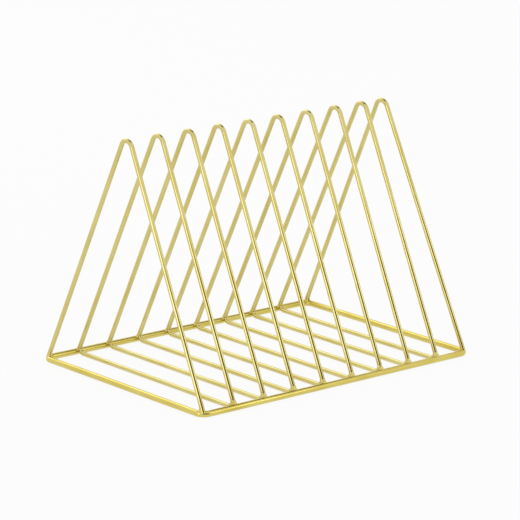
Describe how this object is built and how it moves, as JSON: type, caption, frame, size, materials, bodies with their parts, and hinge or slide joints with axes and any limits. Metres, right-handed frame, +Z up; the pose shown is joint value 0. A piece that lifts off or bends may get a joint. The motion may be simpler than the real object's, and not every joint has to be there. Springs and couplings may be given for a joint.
{
  "type": "desktop magazine rack",
  "caption": "Desktop magazine rack of welded gold-coloured wire: upright triangular dividers stand on a rounded rectangular base ring and leave slots for magazines.",
  "frame": {"origin": "on the desk, under the middle of the rack", "axes": "+X along the row of dividers, with the leaning end divider on the +X end; -Y is the front, +Z is up"},
  "size_m": [0.258, 0.177, 0.178],
  "materials": {
    "ring_wire": "gold-plated steel wire, polished",
    "divider_wire": "gold-plated steel wire, polished",
    "weld_metal": "gold-plated weld metal, slightly rough"
  },
  "bodies": {
    "root": {"base_ring": "ring_wire", "divider_1": "divider_wire", "foot_welds_1": "weld_metal", "divider_2": "divider_wire", "foot_welds_2": "weld_metal", "divider_3": "divider_wire", "foot_welds_3": "weld_metal", "divider_4": "divider_wire", "foot_welds_4": "weld_metal", "divider_5": "divider_wire", "foot_welds_5": "weld_metal", "divider_6": "divider_wire", "foot_welds_6": "weld_metal", "divider_7": "divider_wire", "foot_welds_7": "weld_metal", "divider_8": "divider_wire", "foot_welds_8": "weld_metal", "end_divider_left": "divider_wire", "foot_welds_left": "weld_metal", "end_divider_right": "divider_wire", "foot_welds_right": "weld_metal"}
  },
  "joints": []
}
